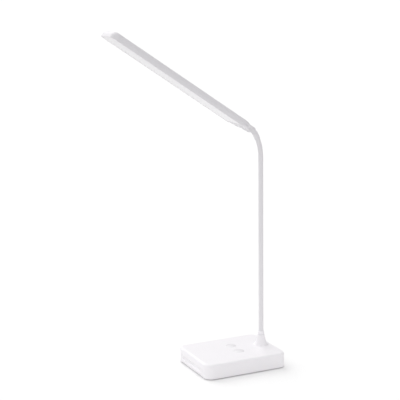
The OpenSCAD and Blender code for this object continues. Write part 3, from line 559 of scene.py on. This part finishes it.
phosphor = moulded("chip_phosphor", (0.93, 0.78, 0.28), roughness=0.35, spark=2500.0, depth=0.00002,
                   seed=23.0)
first_chip = chips_middle - chip_pitch * (chip_count - 1) / 2
bpy.ops.object.select_all(action="DESELECT")
bpy.ops.mesh.primitive_cube_add(size=1.0, scale=chip_size,
                                location=(0.0, first_chip, chip_top - chip_size.z / 2))
chips = bpy.context.active_object
chips.name = "light_chips"
bpy.ops.object.transform_apply(location=True, rotation=True, scale=True)
chips.data.materials.append(strip_mask)
chips.data.materials.append(phosphor)
bpy.ops.object.mode_set(mode="EDIT")
bpy.ops.mesh.select_all(action="DESELECT")
bpy.ops.object.mode_set(mode="OBJECT")
for face in chips.data.polygons:
    face.select = face.normal.z < -0.5
bpy.ops.object.mode_set(mode="EDIT")
bpy.ops.mesh.select_mode(type="FACE")
bpy.ops.mesh.inset(thickness=chip_rim)
bpy.ops.mesh.extrude_region_move(TRANSFORM_OT_translate={"value": (0.0, 0.0, chip_well)})
bpy.ops.mesh.inset(thickness=phosphor_edge)
chips.active_material_index = 1
bpy.ops.object.material_slot_assign()
bpy.ops.object.mode_set(mode="OBJECT")
row = chips.modifiers.new("row", "ARRAY")
row.use_relative_offset = False
row.use_constant_offset = True
row.constant_offset_displace = (0.0, chip_pitch, 0.0)
row.count = chip_count
bpy.ops.object.modifier_apply(modifier="row")
chips.matrix_world = head_place
finished(chips)
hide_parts("led_chips")
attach(chips, "head")

# ---------------------------------------------------------------------------
# Tail screws. Two small pan-head screws with a cross recess hold the cover
# under the tail; their heads lie deep in its two round wells.
# ---------------------------------------------------------------------------
recess_wide, recess_thick, recess_deep = 0.0020, 0.00042, 0.00055
screw_face, screw_reach, screw_row = -0.0040, 0.0070, -0.0180

tail_screws = softened("tail_screws", zinc, width=0.0003, segments=3)
for side in (-1, 1):
    for turn in (0.0, math.pi / 2):
        bpy.ops.object.select_all(action="DESELECT")
        bpy.ops.mesh.primitive_cube_add(size=1.0)
        driver = bpy.context.active_object
        driver.matrix_world = (head_place @ Matrix.Translation((side * screw_reach, screw_row, screw_face))
                               @ Matrix.Rotation(turn + math.pi / 4, 4, "Z")
                               @ Matrix.Diagonal((recess_wide, recess_thick, 2 * recess_deep, 1.0)))
        bpy.ops.object.transform_apply(location=True, rotation=True, scale=True)
        cut(tail_screws, driver)
bpy.ops.object.shade_smooth_by_angle(angle=smooth_angle)

# ---------------------------------------------------------------------------
# The table and the light. A wide white table in an even white room, with one
# broad soft light overhead, a stronger one behind and two low fills. The camera
# sees room and table as white, except where the lamp keeps light off the table.
# ---------------------------------------------------------------------------
bpy.ops.object.select_all(action="DESELECT")
table_side = 400.0
bpy.ops.mesh.primitive_plane_add(size=table_side, location=(0.0, 0.0, 0.0))
table = bpy.context.active_object
table.name = "table_top"
table_finish = Finish("table_white_with_painted_shade", Roughness=0.9, Specular_Ior_Level=0.0)
pure_white = (1.0, 1.0, 1.0)
rays = [table_finish.add("ShaderNodeLightPath", {}, {}, name)
        for name in ("Is Camera Ray", "Is Glossy Ray", "Is Transmission Ray")]
seen = rays[0].most(rays[1]).most(rays[2])
table_x, table_y, _ = (table_finish.add(
    "ShaderNodeSeparateXYZ", {}, {"Vector": table_finish.place}, i) for i in range(3))
# Painted shade: far from the lamp the colour the table shows to light it throws back darkens, standing in
# for the light that falls off across a real room; the camera still sees the table white.
painted_shade_start, painted_shade_length = 0.5, 0.8
painted_shade_share = (((table_x ** 2 + table_y ** 2) ** 0.5 - painted_shade_start) / painted_shade_length).most(0.0).least(1.0)
bounce_colour_with_painted_shade = table_finish.tint(painted_shade_share, (0.93, 0.93, 0.93), (0.5, 0.5, 0.5))
table_finish.set(Base_Color=table_finish.tint(seen, bounce_colour_with_painted_shade, pure_white))
table.data.materials.append(table_finish.material)

room_strength = 0.45
world = bpy.data.worlds.new("white_room")
bpy.context.scene.world = world
world.use_nodes = True
room = world.node_tree
room.nodes.clear()
room_output = room.nodes.new("ShaderNodeOutputWorld")
room_light = room.nodes.new("ShaderNodeBackground")
room_seen = room.nodes.new("ShaderNodeBackground")
room_mix = room.nodes.new("ShaderNodeMixShader")
room_path = room.nodes.new("ShaderNodeLightPath")
for background in (room_light, room_seen):
    background.inputs["Color"].default_value = (*pure_white, 1.0)
room_light.inputs["Strength"].default_value = room_strength
room.links.new(room_path.outputs["Is Camera Ray"], room_mix.inputs[0])
room.links.new(room_light.outputs[0], room_mix.inputs[1])
room.links.new(room_seen.outputs[0], room_mix.inputs[2])
room.links.new(room_mix.outputs[0], room_output.inputs["Surface"])


def sunlight(name, energy, spread, heading):
    """A broad even light from far away, as from a large soft box: its spread is in degrees."""
    data = bpy.data.lights.new(name, "SUN")
    data.energy = energy
    data.angle = math.radians(spread)
    light = bpy.data.objects.new(name, data)
    bpy.context.scene.collection.objects.link(light)
    light.matrix_world = Vector(heading).to_track_quat("-Z", "Y").to_matrix().to_4x4()


sunlight("top_light", energy=0.93, spread=100.0, heading=(-0.1, 0.0, -1.0))
sunlight("back_light", energy=1.28, spread=60.0, heading=(0.8, 0.15, -0.54))
sunlight("side_fill", energy=0.53, spread=60.0, heading=(-1.0, 0.1, -0.12))
sunlight("front_fill", energy=0.56, spread=60.0, heading=(0.1, 1.0, -0.12))

bpy.context.scene.view_settings.view_transform = "Standard"
